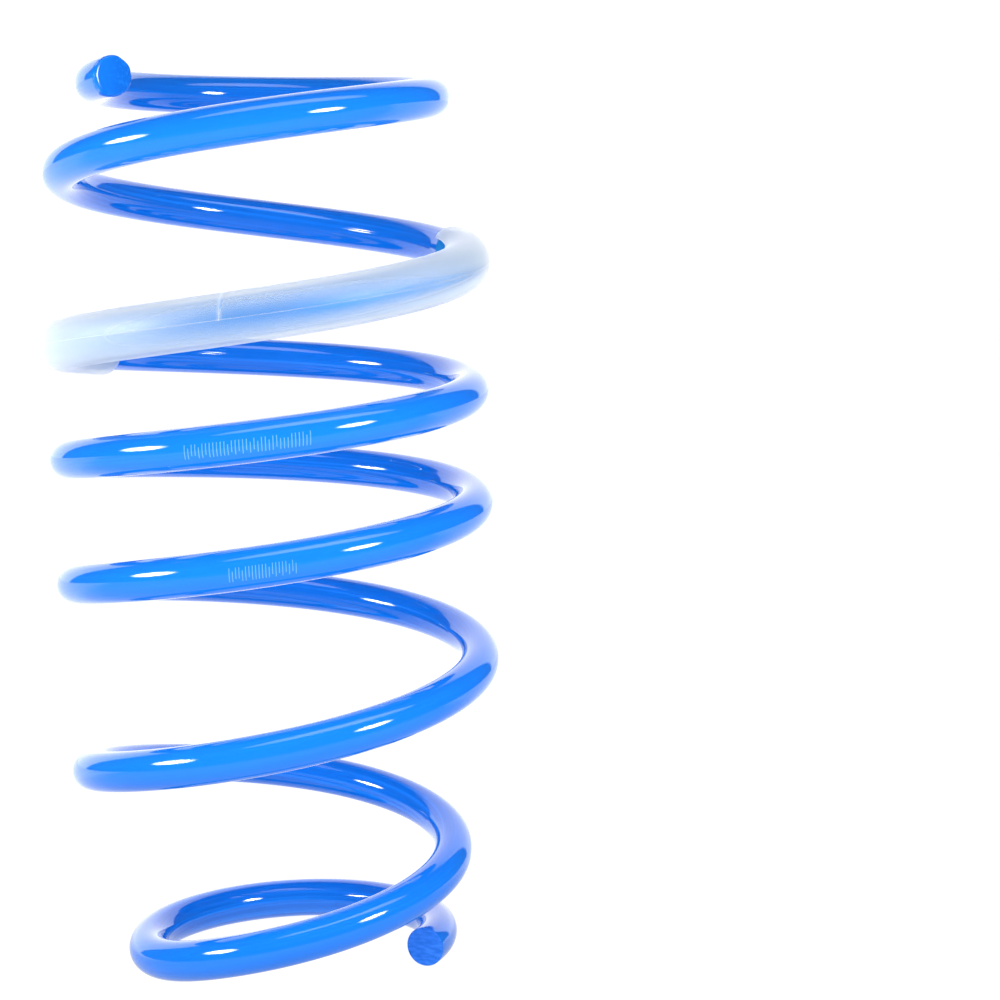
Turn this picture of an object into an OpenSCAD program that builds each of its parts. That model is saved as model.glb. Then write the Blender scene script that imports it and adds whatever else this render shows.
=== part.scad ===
// Suspension coil spring: one length of round wire wound right-handed into a barrel,
// with closed end coils of different size and a split plastic sleeve on one coil.
// The origin is on the coil axis, on the plane that the lower end coil stands on.
// Angles run anticlockwise seen from above: 0 is +X (right) and 270 is -Y (front).

/* [Wire] */
// Diameter of the round wire
wire_d = 12.7; // [10:0.1:14]
// Sides of the wire's cross section
wire_sides = 16; // [12:4:24]

/* [Coil] */
// Height of the unloaded spring over both end coils
free_length = 292; // [270:1:320]
// Turns of wire from the lower tip to the upper tip
total_turns = 6.6667; // [6.5:0.0001:6.8]
// Angle of the lower tip round the axis
tip_angle = -23; // [-30:1:-15]
// Inner diameter of the lower end coil, which sits round the lower seat
lower_inner_d = 82; // [78:0.5:86]
// Inner diameter of the upper end coil, which sits round the upper seat
upper_inner_d = 88; // [84:0.5:92]
// Outer diameter of the barrel's widest coils
body_outer_d = 141.7; // [136:0.1:146]

/* [Winding] */
// Turns from the lower tip that lie flat and hold the lower seat's diameter
flat_turns = 0.55; // [0.5:0.01:0.6]
// Turn at which the coils reach the full body diameter
widen_end = 1.85; // [1.6:0.01:2.1]
// Turn at which the coils start to narrow again
narrow_start = 5.2; // [5:0.01:5.4]
// Rise per turn of the open coils, next to each end
open_pitch = 64; // [58:0.5:70]
// Rise per turn of the closer coils in the middle of the barrel
body_pitch = 36.2; // [32:0.1:40]
// Rise per turn at the upper tip, where the coil is nearly flat
end_pitch = 5; // [2:0.5:8]
// Turn at which the wire has left the lower seat and climbs at the open pitch
lower_open_start = 0.75; // [0.68:0.01:0.9]
// Turn at which the lower open pitch starts to close up
lower_open_end = 1.9; // [1.7:0.01:2.2]
// Turn at which the coils have closed up to the body pitch
body_pitch_start = 3.3; // [3:0.01:3.6]
// Turn at which the coils start to open up again
body_pitch_end = 4.55; // [4.3:0.01:4.8]
// Turn at which the wire climbs at the open pitch again, before it levels out
upper_open_turn = 5.25; // [5.1:0.01:5.5]

/* [Sleeve] */
// Wall of the split plastic sleeve
sleeve_wall = 1.4; // [1:0.1:2]
// Gap between the wire and the sleeve's bore
sleeve_gap = 0.15; // [0.1:0.01:0.25]
// Width of the slit, which faces the coil axis
sleeve_slit = 6; // [3:0.5:8]
// Turn at which the sleeve starts
sleeve_start = 4.49; // [4.44:0.01:4.6]
// Turn at which the sleeve ends
sleeve_end = 5.12; // [5:0.01:5.15]

/* [Hidden] */
// The wire is cut into quarter turns, each facing one side, between its two end coils.
SIDES = ["front", "right", "back", "left"];
QUARTER_COUNT = 21;
QUARTERS = [for (k = [0 : QUARTER_COUNT - 1]) str("coil_", 1 + floor(k / 4), "_", SIDES[k % 4])];
// The sleeve is cut at the same planes as the wire that it rides on.
SLEEVES = ["sleeve_left", "sleeve_front", "sleeve_right"];
FIRST_SLEEVED_QUARTER = 15;

wire_r = wire_d / 2;
lower_r = lower_inner_d / 2 + wire_r;
upper_r = upper_inner_d / 2 + wire_r;
body_r = body_outer_d / 2 - wire_r;
sleeve_inner_r = wire_r + sleeve_gap;
sleeve_outer_r = sleeve_inner_r + sleeve_wall;
// Angle of the first cut, where the lower end coil hands over to the first quarter turn
first_cut_angle = 225;
// Step between cross sections along the wire
ring_step = 7.5 / 360;
// How far the wire runs past an end face before that face is cut square
tip_overrun = 0.01;
sleeve_arc_steps = 16;
wire_blue = [0.10, 0.45, 0.95];
sleeve_milk = [0.85, 0.90, 0.97, 0.6];

// Winding charts: [turn, value] pairs, joined by smooth steps.
radius_chart = [
    [0, lower_r],
    [flat_turns, lower_r],
    [widen_end, body_r],
    [narrow_start, body_r],
    [total_turns, upper_r]
];
pitch_chart = [
    [0, 0],
    [flat_turns, 0],
    [lower_open_start, open_pitch],
    [lower_open_end, open_pitch],
    [body_pitch_start, body_pitch],
    [body_pitch_end, body_pitch],
    [upper_open_turn, open_pitch],
    [total_turns, end_pitch]
];

// Smooth step from 0 to 1, and its integral
function smooth(u) = u * u * (3 - 2 * u);
function smooth_area(u) = u * u * u - u * u * u * u / 2;

// Stretch of a chart that holds turn t, and how far along that stretch t lies
function stretch(chart, t) = max([for (i = [0 : len(chart) - 2]) if (i == 0 || t >= chart[i][0]) i]);
function share(chart, i, t) =
    min(max((t - chart[i][0]) / (chart[i + 1][0] - chart[i][0]), 0), 1);

// Value of a chart at turn t
function read_chart(chart, t) =
    let (i = stretch(chart, t))
    let (u = share(chart, i, t))
    chart[i][1] + (chart[i + 1][1] - chart[i][1]) * smooth(u);

// Area under a chart from its first turn to turn t
function chart_area(chart, t, i = 0) =
    i > len(chart) - 2 || t <= chart[i][0] ? 0 :
    let (u = share(chart, i, t))
    (chart[i + 1][0] - chart[i][0])
        * (chart[i][1] * u + (chart[i + 1][1] - chart[i][1]) * smooth_area(u))
        + chart_area(chart, t, i + 1);

// The charts' rise is stretched by a hair so that the free length comes out exact.
rise_scale = (free_length - wire_d) / chart_area(pitch_chart, total_turns);

function coil_r(t) = read_chart(radius_chart, t);
function coil_z(t) = wire_r + rise_scale * chart_area(pitch_chart, t);
function coil_angle(t) = tip_angle + 360 * t;
function turn_at(angle) = (angle - tip_angle) / 360;
function cut_turn(k) = turn_at(first_cut_angle + 90 * k);

// A round tube cut by a plane through the axis is taller than it is round, by its slope.
function tube_stretch(t) =
    let (slope = rise_scale * read_chart(pitch_chart, t) / (2 * PI * coil_r(t)))
    sqrt(1 + slope * slope);

// One point of the cross section at turn t: phi 0 faces outward and phi 90 faces up.
function section_point(t, radius, phi) =
    let (r = coil_r(t) + radius * cos(phi))
    [
        r * cos(coil_angle(t)),
        r * sin(coil_angle(t)),
        coil_z(t) + radius * tube_stretch(t) * sin(phi)
    ];

// Evenly spaced turns from start to end, both included
function turns_between(start, end) =
    let (steps = max(ceil((end - start) / ring_step - 0.01), 1))
    [for (i = [0 : steps]) start + (end - start) * i / steps];

// Solid wire between two planes through the axis
module wire(start, end) {
    turns = turns_between(start, end);
    last = len(turns) - 1;
    n = wire_sides;
    points = [for (t = turns) for (j = [0 : n - 1]) section_point(t, wire_r, 360 * j / n)];
    skin = [
        for (i = [0 : last - 1])
            for (j = [0 : n - 1])
                let (a = i * n + j, b = i * n + (j + 1) % n)
                    for (face = [[a, b, a + n], [b, b + n, a + n]]) face
    ];
    caps = [[for (j = [n - 1 : -1 : 0]) j], [for (j = [0 : n - 1]) last * n + j]];
    polyhedron(points, concat(skin, caps));
}

// Block that cuts the wire square at turn t, taking what lies on one side of that plane
module tip_cutter(t, side) {
    size = 3 * wire_d;
    rotate([0, 0, coil_angle(t)])
        translate([coil_r(t) - size / 2, side < 0 ? -size : 0, coil_z(t) - size / 2])
            cube(size);
}

// Flat closed coil that stands on the lower seat
module lower_end_coil() {
    color(wire_blue)
        difference() {
            wire(-tip_overrun, cut_turn(0));
            tip_cutter(0, -1);
        }
}

// Quarter turn k of the working coils
module quarter_coil(k) {
    color(wire_blue) wire(cut_turn(k), cut_turn(k + 1));
}

// Nearly flat closed coil under the upper seat
module upper_end_coil() {
    color(wire_blue)
        difference() {
            wire(cut_turn(QUARTER_COUNT), total_turns + tip_overrun);
            tip_cutter(total_turns, 1);
        }
}

// Split tube round the wire between two planes through the axis
module sleeve(start, end) {
    turns = turns_between(start, end);
    last = len(turns) - 1;
    m = sleeve_arc_steps;
    reach = 180 - asin(sleeve_slit / 2 / sleeve_inner_r);
    arc = [for (j = [0 : m]) reach * (2 * j / m - 1)];
    // Each ring holds the outer arc and then the inner arc, both from below the slit to above it.
    ring = 2 * (m + 1);
    points = [
        for (t = turns)
            for (radius = [sleeve_outer_r, sleeve_inner_r])
                for (phi = arc) section_point(t, radius, phi)
    ];
    outer = [for (i = [0 : last - 1]) for (j = [0 : m - 1]) i * ring + j];
    inner = [for (a = outer) a + m + 1];
    skin = [
        for (a = outer) for (face = [[a, a + 1, a + ring], [a + 1, a + ring + 1, a + ring]]) face,
        for (a = inner) for (face = [[a, a + ring, a + 1], [a + 1, a + ring, a + ring + 1]]) face
    ];
    // Lips of the slit, below and above it
    lips = [
        for (i = [0 : last - 1])
            let (a = i * ring, b = a + m + 1, c = a + m, d = c + m + 1)
                for (face = [
                    [a, a + ring, b], [b, a + ring, b + ring],
                    [c, d, c + ring], [d, d + ring, c + ring]
                ]) face
    ];
    caps = [
        for (j = [0 : m - 1])
            let (a = j, b = last * ring + j)
                for (face = [
                    [a, a + m + 1, a + m + 2, a + 1],
                    [b, b + 1, b + m + 2, b + m + 1]
                ]) face
    ];
    polyhedron(points, concat(skin, lips, caps));
}

// Section i of the sleeve, on the quarter turn that it rides with
module sleeve_section(i) {
    k = FIRST_SLEEVED_QUARTER + i;
    start = max(cut_turn(k), sleeve_start);
    end = min(cut_turn(k + 1), sleeve_end);
    color(sleeve_milk) sleeve(start, end);
}

lower_end_coil();
for (k = [0 : QUARTER_COUNT - 1])
    quarter_coil(k);
upper_end_coil();
for (i = [0 : len(SLEEVES) - 1])
    sleeve_section(i);
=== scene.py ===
# %% [markdown]
# # A barrel coil spring with a split sleeve
# The spring is one bar of round steel wire, wound hot into a barrel and powder coated a glossy
# blue. A split tube of milky plastic is clipped round one of its upper coils, to quieten it.
# Here both are made the way they are really made: first as straight stock, then wound.

import math

import bpy
import numpy as np
from mathutils import Matrix, Quaternion, Vector


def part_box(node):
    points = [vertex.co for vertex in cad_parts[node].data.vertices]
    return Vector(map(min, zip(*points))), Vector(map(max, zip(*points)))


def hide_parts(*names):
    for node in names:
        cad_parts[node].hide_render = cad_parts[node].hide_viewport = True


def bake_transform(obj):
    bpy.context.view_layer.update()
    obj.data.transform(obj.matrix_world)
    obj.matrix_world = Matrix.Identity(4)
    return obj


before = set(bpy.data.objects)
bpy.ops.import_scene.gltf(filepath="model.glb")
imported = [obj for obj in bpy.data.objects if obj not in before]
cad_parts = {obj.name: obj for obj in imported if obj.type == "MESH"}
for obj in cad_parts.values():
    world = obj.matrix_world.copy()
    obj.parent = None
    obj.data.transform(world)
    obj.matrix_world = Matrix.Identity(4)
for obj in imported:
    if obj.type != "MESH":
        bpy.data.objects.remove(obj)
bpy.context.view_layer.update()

# %% [markdown]
# ## The winding rule
# A coil spring is a rule and not a drawing: at every turn of the wire there is one radius and
# one pitch. Both change along the spring, so each is kept as a short chart of (turn, value)
# pairs, in millimetres, that are joined by smooth steps. The height is the area under the pitch
# chart, scaled so that the spring comes out at its free length.

# %% Sizes and charts
MM = 0.001
WIRE_R = 6.35 * MM
TIP_ANGLE = math.radians(-23)
TURNS = 6.6667
FREE_LENGTH = 292 * MM
SLEEVE_START, SLEEVE_END, CREASE_TURN = 4.49, 5.12, 4.798
SLEEVE_BORE_R, SLEEVE_WALL = 6.5 * MM, 1.4 * MM
LOWER_R, BODY_R, UPPER_R = 47.35, 64.5, 50.35
OPEN_PITCH, BODY_PITCH, END_PITCH = 64, 36.2, 5
RADIUS_CHART = [(0, LOWER_R), (0.55, LOWER_R), (1.85, BODY_R), (5.2, BODY_R), (TURNS, UPPER_R)]
PITCH_CHART = [
    (0, 0),
    (0.55, 0),
    (0.75, OPEN_PITCH),
    (1.9, OPEN_PITCH),
    (3.3, BODY_PITCH),
    (4.55, BODY_PITCH),
    (5.25, OPEN_PITCH),
    (TURNS, END_PITCH),
]


def steps(chart):
    """Pairs of neighbours in a chart, as (start, length, rise)."""
    return [(a[0], b[0] - a[0], b[1] - a[1]) for a, b in zip(chart, chart[1:])]


def chart_value(chart, turn):
    """The chart's value at a turn: the sum of its smooth steps."""
    total = chart[0][1]
    for start, length, rise in steps(chart):
        if rise:
            total = total + rise * smooth(clamped((turn - start) / length))
    return total


def chart_area(chart, turn):
    """The area under the chart up to a turn."""
    total = chart[0][1] * (turn - chart[0][0])
    for start, length, rise in steps(chart):
        if rise:
            u = clamped((turn - start) / length)
            within, beyond = length * (u * u * u * (1 - u / 2)), positive(turn - start - length)
            total = total + rise * (within + beyond)
    return total


print("steps in the two charts:", len(steps(RADIUS_CHART)), len(steps(PITCH_CHART)))

# %% [markdown]
# ## Numbers that flow through nodes
# The same rule is needed twice: in Python, to place things, and inside a node tree, to wind the
# wire. A small class wraps a node's socket, so that an ordinary sum written on it adds the
# Math nodes. The chart functions above then work on plain numbers and on sockets alike.


# %% The socket class and the bench that makes nodes
class Flow:
    """A number that leaves a node."""

    def __init__(self, bench, socket):
        self.bench, self.socket = bench, socket

    def __add__(self, other):
        return self.bench.maths("ADD", self, other)

    def __sub__(self, other):
        return self.bench.maths("SUBTRACT", self, other)

    def __rsub__(self, other):
        return self.bench.maths("SUBTRACT", other, self)

    def __mul__(self, other):
        return self.bench.maths("MULTIPLY", self, other)

    def __truediv__(self, other):
        return self.bench.maths("DIVIDE", self, other)

    def __pow__(self, other):
        return self.bench.maths("POWER", self, other)

    def __neg__(self):
        return self * -1.0

    __radd__, __rmul__ = __add__, __mul__


class Bench:
    """A node tree that is being built."""

    def __init__(self, tree):
        self.tree = tree

    def node(self, kind, settings=None, sockets=None):
        """One node: its settings first, then the values or links of its sockets."""
        made = self.tree.nodes.new(kind)
        for name, value in (settings or {}).items():
            setattr(made, name, value)
        for key, value in (sockets or {}).items():
            target = pick(made.inputs, key)
            if isinstance(value, Flow):
                self.tree.links.new(value.socket, target)
            elif isinstance(value, bpy.types.NodeSocket):
                self.tree.links.new(value, target)
            else:
                target.default_value = value
        return made

    def maths(self, operation, *values):
        """One Math node on numbers or flows."""
        made = self.node("ShaderNodeMath", {"operation": operation}, dict(enumerate(values)))
        return Flow(self, made.outputs[0])

    def out(self, kind, settings=None, sockets=None, output=0):
        """A node, taken by one of its outputs."""
        return Flow(self, pick(self.node(kind, settings, sockets).outputs, output))

    def split(self, vector):
        """The three parts of a vector."""
        parts = self.node("ShaderNodeSeparateXYZ", None, {0: vector})
        return [Flow(self, parts.outputs[i]) for i in range(3)]

    def join(self, x, y, z):
        """A vector from three parts."""
        return self.out("ShaderNodeCombineXYZ", None, {0: x, 1: y, 2: z})


def pick(sockets, key):
    """A socket by its place, its identifier or its name."""
    if isinstance(key, int):
        return sockets[key]
    return next((s for s in sockets if s.identifier == key), None) or sockets[key]


def clamped(x):
    """A number or a flow, kept between 0 and 1."""
    if isinstance(x, Flow):
        return x.bench.maths("MINIMUM", x.bench.maths("MAXIMUM", x, 0.0), 1.0)
    return np.clip(x, 0.0, 1.0)


def positive(x):
    """A number or a flow, or 0 where it is negative."""
    return x.bench.maths("MAXIMUM", x, 0.0) if isinstance(x, Flow) else np.maximum(x, 0.0)


def smooth(u):
    """The smooth step from 0 to 1."""
    return u * u * (3 - 2 * u)


RISE_SCALE = (FREE_LENGTH - 2 * WIRE_R) / (MM * chart_area(PITCH_CHART, TURNS))
print("rise scale", round(float(RISE_SCALE), 5))


# %% Radius, height and angle at a turn
def coil_radius(turn):
    return MM * chart_value(RADIUS_CHART, turn)


def coil_height(turn):
    return WIRE_R + MM * RISE_SCALE * chart_area(PITCH_CHART, turn)


def coil_angle(turn):
    return TIP_ANGLE + 2 * math.pi * turn


def coil_slope(turn):
    return MM * RISE_SCALE * chart_value(PITCH_CHART, turn) / (2 * math.pi * coil_radius(turn))


fine_turns = np.linspace(0, TURNS, 20001)
fine_angles = coil_angle(fine_turns)
centre_line = np.stack(
    [
        coil_radius(fine_turns) * np.cos(fine_angles),
        coil_radius(fine_turns) * np.sin(fine_angles),
        coil_height(fine_turns),
    ],
    axis=1,
)
bar_length = float(np.linalg.norm(np.diff(centre_line, axis=0), axis=1).sum())
BAR_PER_TURN = bar_length / TURNS
print("straight bar, mm:", round(1000 * bar_length), "per turn:", round(1000 * BAR_PER_TURN, 1))

# %% [markdown]
# ## The winder
# The real machine bends a straight bar as it is fed in. The winder is the same idea as a node
# group: it takes anything that was modelled on a straight bar lying along X, with Y as the side
# that will face outward and Z as the side that will face up, and moves each point to its place
# on the coil. It first keeps the straight place as an attribute, because finishes such as
# drawing lines and printed marks follow the wire and not the room.


# %% The winder's node group
def new_tree(name, inputs):
    """An empty geometry tree with a geometry output and the named inputs."""
    tree = bpy.data.node_groups.new(name, "GeometryNodeTree")
    for label, kind in inputs:
        tree.interface.new_socket(name=label, in_out="INPUT", socket_type=kind)
    tree.interface.new_socket(name="Geometry", in_out="OUTPUT", socket_type="NodeSocketGeometry")
    bench = Bench(tree)
    given = bench.node("NodeGroupInput")
    values = {label: Flow(bench, given.outputs[label]) for label, _ in inputs}
    return bench, values


def wind():
    """The node group that moves points from the straight bar to the coil."""
    bench, given = new_tree("wind_bar", [("Geometry", "NodeSocketGeometry")])
    place = bench.out("GeometryNodeInputPosition")
    kept = bench.out(
        "GeometryNodeStoreNamedAttribute",
        {"data_type": "FLOAT_VECTOR", "domain": "POINT"},
        {"Geometry": given["Geometry"], "Name": "bar_place", "Value": place},
    )
    straight = bench.out(
        "GeometryNodeInputNamedAttribute", {"data_type": "FLOAT_VECTOR"}, {"Name": "bar_place"}
    )
    along, outward, upward = bench.split(straight)
    turn = along / BAR_PER_TURN
    radius = coil_radius(turn) + outward
    angle = coil_angle(turn)
    slope = coil_slope(turn)
    taller = bench.maths("SQRT", 1 + slope * slope)
    wound = bench.join(
        radius * bench.maths("COSINE", angle),
        radius * bench.maths("SINE", angle),
        coil_height(turn) + upward * taller,
    )
    moved = bench.out("GeometryNodeSetPosition", None, {"Geometry": kept, "Position": wound})
    bench.node("NodeGroupOutput", None, {"Geometry": moved})
    return bench.tree


WINDER = wind()
print("winder nodes:", len(WINDER.nodes))


# %% How a tree ends, and how it is run
SEAM = 2e-6


def finish_tree(bench, geometry):
    """Merges seams, winds the stock, smooths, realizes and hands over the material."""
    merged = bench.out("GeometryNodeMergeByDistance", None, {"Geometry": geometry, "Distance": SEAM})
    wound = bench.out("GeometryNodeGroup", {"node_tree": WINDER}, {"Geometry": merged})
    shaded = bench.out("GeometryNodeSetShadeSmooth", None, {"Geometry": wound})
    real = bench.out("GeometryNodeRealizeInstances", None, {"Geometry": shaded})
    material = bench.node("NodeGroupInput").outputs["Material"]
    done = bench.out("GeometryNodeSetMaterial", None, {"Geometry": real, "Material": material})
    bench.node("NodeGroupOutput", None, {"Geometry": done})


def run_tree(name, tree, sizes):
    """Runs a tree on an empty object and returns a plain piece with the mesh that it made."""
    holder = bpy.data.objects.new(name + "_stock", bpy.data.meshes.new(name + "_stock"))
    bpy.context.scene.collection.objects.link(holder)
    modifier = holder.modifiers.new("stock", "NODES")
    modifier.node_group = tree
    for item in tree.interface.items_tree:
        if item.in_out == "INPUT":
            modifier[item.identifier] = sizes[item.name]
    depsgraph = bpy.context.evaluated_depsgraph_get()
    mesh = bpy.data.meshes.new_from_object(
        holder.evaluated_get(depsgraph), preserve_all_data_layers=True, depsgraph=depsgraph
    )
    bpy.data.objects.remove(holder)
    piece = bpy.data.objects.new(name, mesh)
    bpy.context.scene.collection.objects.link(piece)
    print(name, "points", len(mesh.vertices), "faces", len(mesh.polygons))
    return piece


def grid(bench, rings, sides):
    """A sheet of rings x sides cells, with the ring number and the side number of each point."""
    sheet = bench.out(
        "GeometryNodeMeshGrid",
        None,
        {
            "Size X": rings - 1,
            "Size Y": sides,
            "Vertices X": bench.maths("ROUND", rings),
            "Vertices Y": bench.maths("ROUND", sides + 1),
        },
    )
    x, y, _ = bench.split(bench.out("GeometryNodeInputPosition"))
    return sheet, bench.maths("ROUND", x + (rings - 1) / 2), bench.maths("ROUND", y + sides / 2)


# %% [markdown]
# ## The bar
# The bar is a sheet of points rolled into a rod: one direction of the sheet runs along the bar
# and the other goes round it. The first and last rings close the ends. Each end has its own
# rounded rim: the lower tip was sheared and only lightly dressed, and on the upper tip the
# coating pooled into a fat, slightly lobed rim.

# %% The bar's tree
FACE_RINGS, RIM_RINGS = 6.0, 8.0
RIDGE_REACH = 1.4 * MM


def bar_tree():
    """The tree of the straight bar, with its two tips."""
    bench, given = new_tree(
        "wound_bar",
        [
            ("Length", "NodeSocketFloat"),
            ("Section radius", "NodeSocketFloat"),
            ("Lower rim", "NodeSocketFloat"),
            ("Upper rim", "NodeSocketFloat"),
            ("Lobes", "NodeSocketFloat"),
            ("Rings", "NodeSocketFloat"),
            ("Sides", "NodeSocketFloat"),
            ("Material", "NodeSocketMaterial"),
        ],
    )
    length, section = given["Length"], given["Section radius"]
    sheet, ring, side = grid(bench, given["Rings"], given["Sides"])
    last = given["Rings"] - 1

    def tip(rings_in, rim):
        """Distance from the tip's face, and section radius, a number of rings in from a tip."""
        face = clamped(rings_in / FACE_RINGS)
        round_over = clamped((rings_in - FACE_RINGS) / RIM_RINGS) * (math.pi / 2)
        reach = (section - rim) * face + rim * bench.maths("SINE", round_over)
        return rim * (1 - bench.maths("COSINE", round_over)), reach

    low_depth, low_reach = tip(ring, given["Lower rim"])
    high_depth, high_reach = tip(last - ring, given["Upper rim"])
    tip_rings = FACE_RINGS + RIM_RINGS
    body = clamped((ring - tip_rings) / (last - 2 * tip_rings))
    inner_length = length - given["Lower rim"] - given["Upper rim"]
    along = low_depth + body * inner_length + given["Upper rim"] - high_depth
    round_angle = side / given["Sides"] * (2 * math.pi)
    reach = bench.maths("MINIMUM", low_reach, high_reach)
    outward, upward = bench.maths("COSINE", round_angle), bench.maths("SINE", round_angle)
    # Pooled coating: a low uneven ridge round the upper tip, strongest just behind the rim.
    behind = (length - along) / RIDGE_REACH
    ridge = bench.maths("EXPONENT", -(behind - 1) * (behind - 1)) * (reach / section)
    lumps = bench.out(
        "ShaderNodeTexNoise",
        {"noise_dimensions": "3D"},
        {"Vector": bench.join(outward, upward, 7.3), "Scale": 1.7, "Detail": 1.0},
        "Fac",
    )
    reach = reach + ridge * given["Lobes"] * (lumps - 0.45)
    placed = bench.out(
        "GeometryNodeSetPosition",
        None,
        {"Geometry": sheet, "Position": bench.join(along, reach * outward, reach * upward)},
    )
    finish_tree(bench, placed)
    return bench.tree


BAR = bar_tree()
print("bar tree nodes:", len(BAR.nodes))

# %% [markdown]
# ## The sleeve
# The sleeve is a length of extruded tube, slit from end to end and sprung over the wire with the
# slit towards the coil's axis. It is modelled in the same way: a sheet rolled round the outline
# of a C, out along its outer side, round one lip, back along the bore and round the other lip.
# It gapes near its upper end, where the split is being pushed apart by the tighter bend.

# %% The sleeve's tree
LIP_STEPS = 8.0
END_EDGE = 0.3 * MM
CREASE_HALF_WIDTH, CREASE_DEPTH = 1.1 * MM, 0.22 * MM
RIPPLE = 0.12 * MM


def sleeve_tree():
    """The tree of the straight sleeve, a C that is rolled from one sheet."""
    bench, given = new_tree(
        "wound_sleeve",
        [
            ("Start", "NodeSocketFloat"),
            ("End", "NodeSocketFloat"),
            ("Bore radius", "NodeSocketFloat"),
            ("Wall", "NodeSocketFloat"),
            ("Slit", "NodeSocketFloat"),
            ("Gape", "NodeSocketFloat"),
            ("Crease place", "NodeSocketFloat"),
            ("Rings", "NodeSocketFloat"),
            ("Arc steps", "NodeSocketFloat"),
            ("Material", "NodeSocketMaterial"),
        ],
    )
    start, end, half_wall = given["Start"], given["End"], given["Wall"] / 2
    arc_steps = given["Arc steps"]
    sheet, ring, side = grid(bench, given["Rings"], 2 * arc_steps + 2 * LIP_STEPS)
    last = given["Rings"] - 1
    # Along the sleeve: the two outermost rings close each end, and the next one eases its edge.
    from_end = bench.maths("MINIMUM", ring, last - ring)
    body = clamped((ring - 2) / (last - 4))
    ease = END_EDGE * clamped(from_end - 1)
    side_sign = bench.maths("SIGN", last / 2 - ring)
    at_end = bench.maths("LESS_THAN", from_end, 2.5)
    full_wall = start + END_EDGE + body * (end - start - 2 * END_EDGE)
    along = full_wall + side_sign * (ease - END_EDGE) * at_end
    thickness = half_wall * bench.maths("MINIMUM", from_end * 0.8, 1.0)
    # Round the outline: outer arc, lip, bore arc, lip.
    outer = clamped(side / arc_steps)
    first_lip = clamped((side - arc_steps) / LIP_STEPS)
    inner = clamped((side - arc_steps - LIP_STEPS) / arc_steps)
    second_lip = clamped((side - 2 * arc_steps - LIP_STEPS) / LIP_STEPS)
    lip_turn = (first_lip + second_lip) * math.pi
    across = 2 * (outer - inner) - 1
    middle = given["Bore radius"] + half_wall
    gape = smooth(clamped((along - start) / (end - start) * 3.2 - 2.2)) * given["Gape"]
    half_slit = (given["Slit"] / 2 + gape) / middle
    reach = math.pi - half_slit - half_wall / middle
    lip = bench.maths("ABSOLUTE", bench.maths("SINE", lip_turn)) * thickness / middle
    round_angle = across * reach + bench.maths("SIGN", across) * lip
    # A crease across the upper half, where the tube was bent too far when it was clipped on.
    beside = (along - given["Crease place"]) / CREASE_HALF_WIDTH
    upper_half = clamped(round_angle * 1.2 + 0.15) * clamped(2.2 - round_angle)
    crease = bench.maths("EXPONENT", -(beside * beside)) * upper_half
    ripple = bench.out(
        "ShaderNodeTexNoise",
        {"noise_dimensions": "3D"},
        {"Vector": bench.join(along * 60, across * 2, 3.1), "Scale": 1.0, "Detail": 1.0},
        "Fac",
    )
    wave = (ripple - 0.5) * RIPPLE - crease * CREASE_DEPTH
    radius = middle + wave + thickness * bench.maths("COSINE", lip_turn)
    placed = bench.join(
        along,
        radius * bench.maths("COSINE", round_angle),
        radius * bench.maths("SINE", round_angle),
    )
    moved = bench.out("GeometryNodeSetPosition", None, {"Geometry": sheet, "Position": placed})
    finish_tree(bench, moved)
    return bench.tree


SLEEVE = sleeve_tree()
print("sleeve tree nodes:", len(SLEEVE.nodes))


# %% [markdown]
# ## The blue coating
# Powder coat is a thick glossy skin: it melts and flows, so it has a soft, deep colour under a
# clear, slightly wavy surface. A Principled shader does this with a coat over a rougher base.
# Faint lines run along the wire, left by the drawing die, so the pattern reads the straight
# bar's coordinates, squeezed along its length. The side that faces the coil's axis is painted
# a darker blue, as painted shade, and the lines show more there. Two rows of plain ink strokes
# stand where such a wire is marked.


# %% Helpers for materials
def new_material(name):
    """An empty material and its bench."""
    material = bpy.data.materials.new(name)
    material.use_nodes = True
    material.node_tree.nodes.clear()
    return material, Bench(material.node_tree)


def bar_place(bench):
    """The point's place on the straight bar, as one vector."""
    return bench.out("ShaderNodeAttribute", {"attribute_name": "bar_place"}, None, "Vector")


def stretched(bench, vector, factors):
    """A vector with each of its parts multiplied."""
    return bench.out("ShaderNodeVectorMath", {"operation": "MULTIPLY"}, {0: vector, 1: factors})


def noise(bench, vector, waves, detail=2.0, roughness=0.5):
    """Noise with its own number of waves per metre along, outward and upward."""
    place = stretched(bench, vector, waves)
    sockets = {"Vector": place, "Scale": 1.0, "Detail": detail, "Roughness": roughness}
    return bench.out("ShaderNodeTexNoise", {"noise_dimensions": "3D"}, sockets, "Fac")


def dots(bench, vector, waves, size):
    """Small scattered dots: 1 in the middle of each and 0 between them."""
    settings = {"feature": "F1", "voronoi_dimensions": "3D"}
    sockets = {"Vector": stretched(bench, vector, (waves, waves, waves)), "Scale": 1.0}
    distance = bench.out("ShaderNodeTexVoronoi", settings, sockets, "Distance")
    return clamped((size - distance) / 0.03)


def bell(bench, value):
    """A smooth bump that is 1 where the value is 0."""
    return bench.maths("EXPONENT", -(value * value))


def bump(bench, height):
    """A normal that is tilted by a height in metres."""
    sockets = {"Height": height, "Strength": 1.0, "Distance": 1.0}
    return bench.out("ShaderNodeBump", None, sockets, "Normal")


def blend_colour(bench, factor, first, second):
    """A mix of two colours."""
    sockets = {"Factor_Float": factor, "A_Color": first, "B_Color": second}
    return bench.out("ShaderNodeMix", {"data_type": "RGBA"}, sockets, "Result_Color")


def inside(value, low, high, soft):
    """1 where low < value < high, with a soft edge."""
    return clamped((value - low) / soft) * clamped((high - value) / soft)


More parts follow.
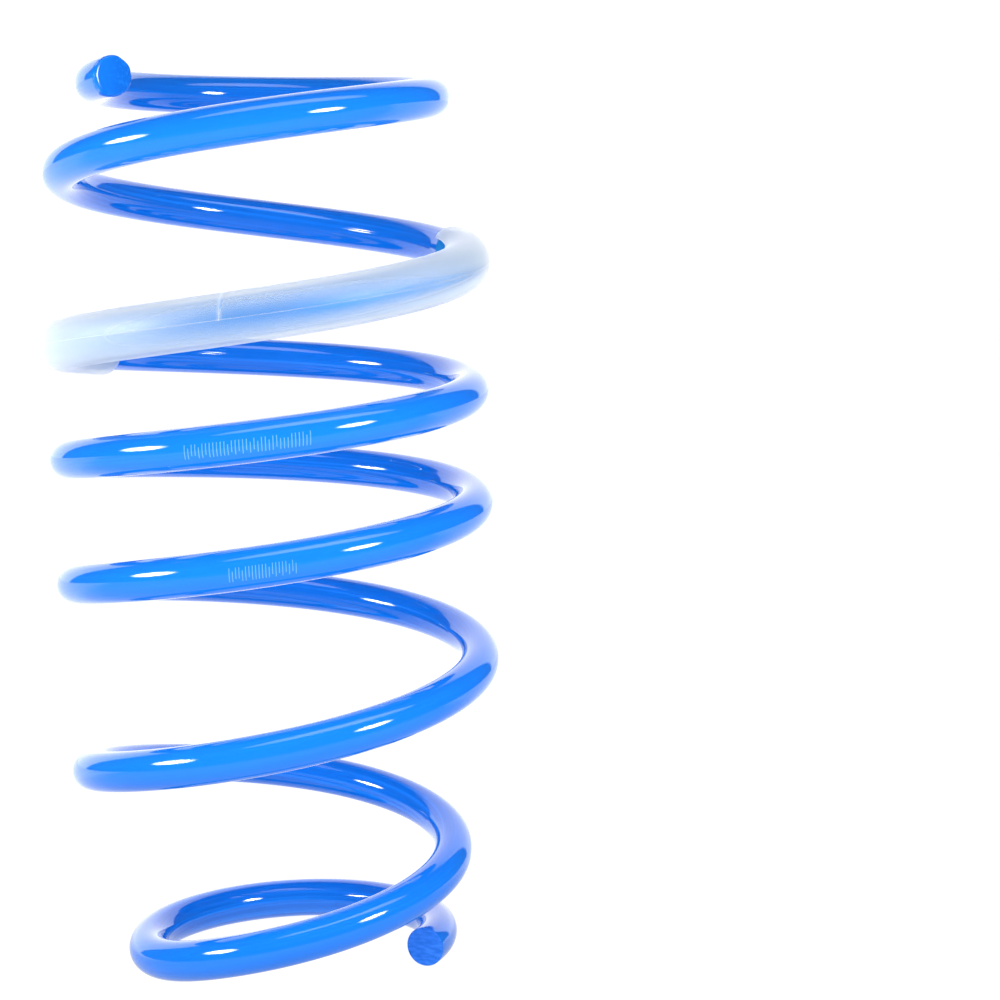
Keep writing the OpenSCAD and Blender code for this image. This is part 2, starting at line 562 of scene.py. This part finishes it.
# %% The ink strokes
# First turn, last turn and spacing of each row, then the reach of a tall stroke in millimetres
INK_ROWS = [(3.768, 3.856, 0.95 * MM), (2.795, 2.843, 0.85 * MM)]
STROKE_LOW, STROKE_HIGH = -2.9, 1.5
STROKE_HALF_WIDTH, STROKE_EDGE = 0.17, 0.15 * MM


def ink(bench, along, outward, upward):
    """Mask of plain upright strokes, in rows along the outer side of the wire."""
    total = 0.0
    outer_side = bench.maths("GREATER_THAN", outward, 0.0)
    for first, last, pitch in INK_ROWS:
        run = (along - first * BAR_PER_TURN) / pitch
        number = bench.maths("FLOOR", run)
        phase = bench.maths("ABSOLUTE", run - number - 0.5)
        draw = bench.out("ShaderNodeTexWhiteNoise", {"noise_dimensions": "1D"}, {"W": number}, "Value")
        low = (STROKE_LOW + 0.9 * bench.maths("GREATER_THAN", draw, 0.7)) * MM
        high = (STROKE_HIGH - 1.0 * bench.maths("LESS_THAN", draw, 0.3)) * MM
        stroke = clamped((STROKE_HALF_WIDTH - phase) / 0.08)
        tall = inside(upward, low, high, STROKE_EDGE)
        row = inside(along, first * BAR_PER_TURN, last * BAR_PER_TURN, 0.2 * MM)
        total = total + stroke * tall * row * outer_side
    return total


# %% The coating's shader
DEEP_BLUE, CLEAR_BLUE = (0.004, 0.148, 0.66, 1), (0.006, 0.170, 0.72, 1)
# The darker inner blue is painted shade, for the side that faces the coil's axis.
PAINTED_SHADE_BLUE, STREAK_BLUE = (0.003, 0.120, 0.56, 1), (0.010, 0.195, 0.78, 1)
INK, UNDER_PLASTIC = (0.24, 0.46, 0.92, 1), (0.02, 0.22, 0.52, 1)
TORN_DARK, TORN_LIGHT = (0.016, 0.115, 0.54, 1), (0.040, 0.185, 0.74, 1)


def coating():
    """Glossy powder coat, with drawing lines, ink, painted shade on its inner side, a matt lower tip
    and a lumpy upper rim.
    """
    material, bench = new_material("blue_coating")
    place = bar_place(bench)
    along, outward, upward = bench.split(place)
    mottle = noise(bench, place, (14, 60, 60), 3.0)
    drawn = noise(bench, place, (5, 900, 900), 2.0, 0.6)
    deep = blend_colour(bench, clamped((mottle - 0.35) * 2.2), DEEP_BLUE, CLEAR_BLUE)
    # Painted shade: the side that faces the coil's axis gets a darker blue, and its drawing lines show
    # more.
    inner_side = clamped(0.5 - outward / (4 * MM))
    shaded = blend_colour(bench, inner_side * 0.65, deep, PAINTED_SHADE_BLUE)
    fine = clamped((drawn - 0.5) * (1.2 + 3.0 * inner_side))
    streaked = blend_colour(bench, fine, shaded, STREAK_BLUE)
    inked = blend_colour(bench, ink(bench, along, outward, upward) * 0.38, streaked, INK)
    # The lower tip's face is bare of gloss: sheared steel with a thin, matt film.
    sheared = bench.maths("LESS_THAN", along, 0.25 * MM)
    grain = noise(bench, place, (900, 300, 1100))
    torn = blend_colour(bench, clamped((grain - 0.35) * 3), TORN_DARK, TORN_LIGHT)
    faced = blend_colour(bench, sheared * 0.85, inked, torn)
    # The surface is wavy like orange peel, with a few specks of dust under the skin.
    peel = noise(bench, place, (160, 260, 260), 1.0)
    specks = dots(bench, place, 60, 0.055)
    height = peel * 0.00006 + drawn * 0.000006 + specks * 0.00012 + sheared * grain * 0.00012
    # Under the sleeve the plastic clings to the coating, and its gloss doesn't show.
    covered = inside(along, SLEEVE_START * BAR_PER_TURN, SLEEVE_END * BAR_PER_TURN, 0.5 * MM)
    under = blend_colour(bench, covered * 0.75, faced, UNDER_PLASTIC)
    # The thick skin on the upper tip's rim is lumpy, which breaks its highlight into specks.
    at_rim = inside(along, bar_length - 2.5 * MM, bar_length - 0.1 * MM, 0.1 * MM)
    lumps = noise(bench, place, (700, 700, 700), 1.0)
    dull = at_rim * clamped((0.56 - lumps) / 0.05)
    sockets = {
        "Base Color": under,
        "Roughness": 0.45 + drawn * 0.08 + sheared * 0.2,
        "IOR": 1.5,
        "Specular IOR Level": 0.0,
        "Coat Weight": 1.0 - sheared * 0.9 - covered - dull * 0.8,
        "Coat Roughness": 0.03,
        "Coat IOR": 1.46,
        "Normal": bump(bench, height),
    }
    shader = bench.out("ShaderNodeBsdfPrincipled", None, sockets)
    bench.node("ShaderNodeOutputMaterial", None, {"Surface": shader})
    return material


COATING = coating()
print("coating nodes:", len(COATING.node_tree.nodes))

# %% [markdown]
# ## The milky plastic
# The sleeve is a cloudy polymer: seen straight on, most of the blue shows through, and seen
# edge on, the wall looks white. A transparent shader is mixed with a milky one, and Layer
# Weight, which is fine for glass and gloss, thickens the haze and the soft gloss where the wall
# is seen aslant. Real milky plastic glows inside: light that goes in comes out again on the wire.
# A mix of shaders would only cast a shadow there, so rays that look for a lamp meet a thin haze.


# %% The plastic's shader
COLD_MILK, WARM_MILK = (0.48, 0.57, 0.66, 1), (0.58, 0.66, 0.74, 1)
WHITE = (1, 1, 1, 1)
SHADOW_HAZE = 0.28
LINE_HEIGHT, LINE_HALF_WIDTH = 0.1 * MM, 0.13 * MM


def plastic():
    """Cloudy plastic, with a mould line, a fold, wrinkles, pinholes and a pressed band."""
    material, bench = new_material("milky_plastic")
    place = bar_place(bench)
    along, outward, upward = bench.split(place)
    cloud = noise(bench, place, (30, 120, 120), 3.0)
    scuffs = noise(bench, place, (40, 700, 700))
    outer_side = bench.maths("GREATER_THAN", outward, 0.0)
    line = bell(bench, (upward - LINE_HEIGHT) / LINE_HALF_WIDTH) * outer_side
    pinholes = dots(bench, place, 55, 0.06)
    facing = bench.out("ShaderNodeLayerWeight", None, {"Blend": 0.5}, "Facing")
    glint = 0.014 + 0.5 * facing**5.0
    shadow = bench.out("ShaderNodeLightPath", None, None, "Is Shadow Ray")
    # One white fold over the upper half, and fine wrinkles beside it that clear the haze.
    past_fold = (along - CREASE_TURN * BAR_PER_TURN) / MM
    upper_half = clamped(upward / MM + 0.5)
    fold = bell(bench, past_fold * 2) * upper_half
    wrinkles = noise(bench, place, (1500, 250, 250), 1.0)
    beside_fold = clamped(past_fold + 1) * clamped(1 - past_fold / 9)
    wrinkled = clamped((wrinkles - 0.35) * 3) * beside_fold * upper_half
    # Past the fold the wire presses against the wall, and its blue shows in a band beside the line.
    pressed = inside(along, 4.84 * BAR_PER_TURN, 5.11 * BAR_PER_TURN, 15 * MM)
    touching = pressed * bell(bench, (upward + 0.3 * MM) / (2.2 * MM))
    marks = 0.22 * fold - 0.07 * wrinkled + 0.16 * line - 0.2 * pinholes
    cleared = (0.1 + 0.3 * facing) * touching
    looked = clamped(0.035 + 0.05 * cloud + 0.66 * facing**0.75 + marks - cleared)
    haze = looked + (SHADOW_HAZE - looked) * shadow
    normal = bump(bench, scuffs * 0.000004 + line * 0.00005 + fold * 0.0001)
    tint = blend_colour(bench, cloud, COLD_MILK, WARM_MILK)
    sockets = {"Base Color": tint, "Roughness": 0.6, "Specular IOR Level": 0.0, "Normal": normal}
    milk = bench.out("ShaderNodeBsdfPrincipled", None, sockets)
    clear = bench.out("ShaderNodeBsdfTransparent", None, {"Color": WHITE})
    body = bench.out("ShaderNodeMixShader", None, {0: haze, 1: clear, 2: milk})
    sockets = {"Color": WHITE, "Roughness": 0.5, "Normal": normal}
    gloss = bench.out("ShaderNodeBsdfAnisotropic", None, sockets)
    skin = bench.out("ShaderNodeMixShader", None, {0: glint * (1 - shadow), 1: body, 2: gloss})
    bench.node("ShaderNodeOutputMaterial", None, {"Surface": skin})
    return material


PLASTIC = plastic()
print("plastic nodes:", len(PLASTIC.node_tree.nodes))

# %% [markdown]
# ## Making the two pieces
# Each tree runs once, with its sizes set by the sockets' identifiers, and its result becomes a
# plain mesh. The result is measured against the boxes of the CAD nodes that it stands for.

# %% Run the trees
wire = run_tree(
    "coil_wire",
    BAR,
    {
        "Length": bar_length,
        "Section radius": WIRE_R,
        "Lower rim": 0.45 * MM,
        "Upper rim": 0.8 * MM,
        "Lobes": 0.9 * MM,
        "Rings": 829.0,
        "Sides": 48.0,
        "Material": COATING,
    },
)
sleeve = run_tree(
    "noise_sleeve",
    SLEEVE,
    {
        "Start": SLEEVE_START * BAR_PER_TURN,
        "End": SLEEVE_END * BAR_PER_TURN,
        "Bore radius": SLEEVE_BORE_R,
        "Wall": SLEEVE_WALL,
        "Slit": 6 * MM,
        "Gape": 1.6 * MM,
        "Crease place": CREASE_TURN * BAR_PER_TURN,
        "Rings": 181.0,
        "Arc steps": 96.0,
        "Material": PLASTIC,
    },
)
quarters = [f"coil_{1 + k // 4}_{('front', 'right', 'back', 'left')[k % 4]}" for k in range(21)]
wire_nodes = ["lower_end_coil", *quarters, "upper_end_coil"]
sleeve_nodes = ["sleeve_left", "sleeve_front", "sleeve_right"]


def box_gap(piece, nodes):
    """Largest difference between a piece's box and the box round some CAD nodes, in mm."""
    points = np.array([v.co for v in piece.data.vertices])
    lows, highs = zip(*(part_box(n) for n in nodes))
    low_gap = np.abs(points.min(0) - np.min(lows, axis=0)).max()
    high_gap = np.abs(points.max(0) - np.max(highs, axis=0)).max()
    return round(1000 * float(max(low_gap, high_gap)), 2)


print("wire off the CAD box, mm:", box_gap(wire, wire_nodes))
print("sleeve off the CAD box, mm:", box_gap(sleeve, sleeve_nodes))

# %% [markdown]
# ## How the coil gives
# When the spring is pressed, a coil moves by its share of the travel, and wider coils give more:
# the share grows with the cube of the radius. Here each ring's share is worked out, and all the
# points of one ring are set for a moment at one place on the line, chosen to give that ring its
# share, and then they go back.

# %% Shares of the travel
FIRST_TURN, LAST_TURN = 0.6889, 5.9389
soft_turns = np.clip(fine_turns, FIRST_TURN, LAST_TURN)
give = np.concatenate([[0], np.cumsum(np.diff(soft_turns) * coil_radius(fine_turns[1:]) ** 3)])
give = give / give[-1]


def bend_with_coil(piece):
    """Sets each ring of a wound piece for a moment at its place on the line, by its share, and puts it
    back.
    """
    mesh = piece.data
    straight = np.zeros(3 * len(mesh.vertices), np.float32)
    mesh.attributes["bar_place"].data.foreach_get("vector", straight)
    share = np.interp(straight[0::3] / BAR_PER_TURN, fine_turns, give)
    line_place = 0.5 - np.sin(np.arcsin(1 - 2 * share) / 3)
    rest = np.zeros(3 * len(mesh.vertices), np.float32)
    mesh.vertices.foreach_get("co", rest)
    weighed = np.zeros((len(mesh.vertices), 3), np.float32)
    weighed[:, 2] = line_place * FREE_LENGTH
    mesh.vertices.foreach_set("co", weighed.ravel())
    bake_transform(piece)
    mesh.vertices.foreach_set("co", rest)
    mesh.update()
    print(piece.name, "shares from", round(float(share.min()), 3), "to", round(float(share.max()), 3))


bend_with_coil(wire)
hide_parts(*wire_nodes)
bend_with_coil(sleeve)
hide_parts(*sleeve_nodes)

# %% [markdown]
# ## The stage
# The floor is plain and white to the camera, so it melts into the backdrop. Gloss sees more of
# it: a table with a front edge, brighter behind the spring than before it. These reflections are
# what draws the dark and pale bands along a shiny wire.

# %% The floor
FLOOR_R, FLOOR_DROP, FLOOR_CORNERS = 14, 0.0002, 64
TABLE_EDGE = -0.72


def round_sheet(name, half_width, half_depth, drop, corners):
    """A flat round or oval mesh."""
    angles = [2 * math.pi * k / corners for k in range(corners)]
    points = [(half_width * math.cos(a), half_depth * math.sin(a), -drop) for a in angles]
    mesh = bpy.data.meshes.new(name)
    mesh.from_pydata(points, [], [list(range(corners))])
    return mesh


def floor():
    """A wide plain floor, just under the spring."""
    mesh = round_sheet("floor", FLOOR_R, FLOOR_R, FLOOR_DROP, FLOOR_CORNERS)
    piece = bpy.data.objects.new("floor", mesh)
    bpy.context.scene.collection.objects.link(piece)
    material, bench = new_material("pale_floor")
    matt = bench.out("ShaderNodeBsdfDiffuse", None, {"Color": (0.12, 0.12, 0.12, 1)})
    _, y, _ = bench.split(bench.out("ShaderNodeTexCoord", None, None, "Object"))
    seen = bench.out("ShaderNodeLightPath", None, None, "Is Camera Ray")
    table = clamped((y - TABLE_EDGE) / 0.05)
    behind = clamped(y / 0.15)
    strength = seen * 0.97 + (1 - seen) * (0.12 + 0.66 * table + 0.8 * behind)
    glow = bench.out("ShaderNodeEmission", None, {"Color": WHITE, "Strength": strength})
    both = bench.out("ShaderNodeAddShader", None, {0: matt, 1: glow})
    bench.node("ShaderNodeOutputMaterial", None, {"Surface": both})
    mesh.materials.append(material)


floor()
print("floor radius, m:", FLOOR_R)

# %% [markdown]
# ## The light
# Two softboxes stand close to the spring, left and right of the camera and a little above it. A
# long panel hangs overhead. Each is made twice: as a glowing card that only gloss sees, which
# draws a highlight with soft ends on every coil, and as a lamp that lights the paint and draws
# none. Three weak fills in front keep the coils' undersides blue. The room is white to the
# camera; in reflections it is white low down and behind, and dim above and at the sides.


# %% The room's light
ROOM_SEEN, ROOM_WHITE, ROOM_DIM = (1.06, 1.06, 1.06, 1), (2.0, 2.0, 2.0, 1), (0.13, 0.14, 0.16, 1)


def room():
    """The light from all round."""
    world = bpy.data.worlds.new("room")
    bpy.context.scene.world = world
    world.use_nodes = True
    world.node_tree.nodes.clear()
    bench = Bench(world.node_tree)
    side, back, up = bench.split(bench.out("ShaderNodeTexCoord", None, None, "Generated"))
    seen = bench.out("ShaderNodeLightPath", None, None, "Is Camera Ray")
    off_middle = bench.maths("ABSOLUTE", side + 0.2 * back)
    backdrop = clamped((back - off_middle) / 0.06) * clamped((back * 1.9 - up) / 0.5)
    mirrored = blend_colour(bench, backdrop, ROOM_DIM, ROOM_WHITE)
    colour = blend_colour(bench, seen, mirrored, ROOM_SEEN)
    light = bench.out("ShaderNodeBackground", None, {"Color": colour, "Strength": 1.0})
    bench.node("ShaderNodeOutputWorld", None, {"Surface": light})


room()
print("room:", bpy.context.scene.world.name)


# %% Softboxes
CARD_CORNERS = 48
SPRING_MIDDLE = Vector((0, 0, 0.15))


def card(name, place, aim, size, strength, soft=2.0, turn=0.0):
    """A glowing oval that fades towards its rim, like the cloth of a softbox. Only gloss sees it."""
    half_width, half_depth = size[0] / 2, size[1] / 2
    mesh = round_sheet(name, half_width, half_depth, 0, CARD_CORNERS)
    piece = bpy.data.objects.new(name, mesh)
    spin = Quaternion((0, 0, 1), turn)
    facing = (Vector(aim) - Vector(place)).to_track_quat("-Z", "Y") @ spin
    piece.matrix_world = Matrix.Translation(place) @ facing.to_matrix().to_4x4()
    piece.visible_camera = False
    piece.visible_diffuse = False
    bpy.context.scene.collection.objects.link(piece)
    material, bench = new_material(name + "_cloth")
    x, y, _ = bench.split(bench.out("ShaderNodeTexCoord", None, None, "Object"))
    fade = clamped(1 - (x / half_width) ** 2.0 - (y / half_depth) ** 2.0)
    glow = bench.out("ShaderNodeEmission", None, {"Color": fade**soft, "Strength": strength})
    bench.node("ShaderNodeOutputMaterial", None, {"Surface": glow})
    mesh.materials.append(material)


def lamp(name, place, size, watts):
    """The light that a softbox throws on the spring. It draws no highlight of its own."""
    light = bpy.data.lights.new(name, "AREA")
    light.shape = "RECTANGLE"
    light.size, light.size_y = size
    light.energy = watts
    piece = bpy.data.objects.new(name, light)
    piece.location = place
    piece.rotation_euler = (SPRING_MIDDLE - Vector(place)).to_track_quat("-Z", "Y").to_euler()
    piece.visible_camera = False
    piece.visible_glossy = False
    bpy.context.scene.collection.objects.link(piece)


LEFT, RIGHT, OVERHEAD = (-0.52, -0.26, 0.35), (0.42, -0.41, 0.33), (0.20, -0.33, 1.05)
card("left_card", LEFT, SPRING_MIDDLE, (0.33, 0.20), 110)
card("right_card", RIGHT, SPRING_MIDDLE, (0.25, 0.20), 110)
card("overhead_card", OVERHEAD, (0.20, -0.33, 0), (1.4, 0.40), 4.5, 0.4, math.radians(17))
lamp("left_light", LEFT, (0.2, 0.2), 2.6)
lamp("right_light", RIGHT, (0.2, 0.2), 2.6)
lamp("fill_light", (0.04, -0.30, 0.17), (0.25, 0.45), 1.15)
lamp("left_fill", (-0.27, -0.16, 0.17), (0.20, 0.45), 0.85)
lamp("right_fill", (0.27, -0.16, 0.17), (0.20, 0.45), 0.45)
lamp("top_light", OVERHEAD, (0.9, 0.3), 4.5)
print("lamps:", len(bpy.data.lights))

# %% [markdown]
# ## The camera
# A short telephoto, 0.8 m in front of the spring and level with its upper coils, looking slightly
# down. The spring stands left of the middle, as if a mirrored twin stood on the right.

# %% Camera and view
PITCH, ROLL = math.radians(6.153), math.radians(-2.057)
LENS_MM, SENSOR_MM = 89.13, 36
CAMERA_PLACE = (0.0729, -0.7955, 0.2338)
forward = Vector((0, math.cos(PITCH), -math.sin(PITCH)))
level = Vector((1, 0, 0))
rise = level.cross(forward)
across = level * math.cos(ROLL) + rise * math.sin(ROLL)
upright = rise * math.cos(ROLL) - level * math.sin(ROLL)
lens = bpy.data.cameras.new("camera")
lens.lens, lens.sensor_width = LENS_MM, SENSOR_MM
camera = bpy.data.objects.new("camera", lens)
turned = Matrix((across, upright, -forward)).transposed().to_4x4()
camera.matrix_world = Matrix.Translation(CAMERA_PLACE) @ turned
bpy.context.scene.collection.objects.link(camera)
bpy.context.scene.camera = camera
bpy.context.scene.view_settings.view_transform = "Standard"
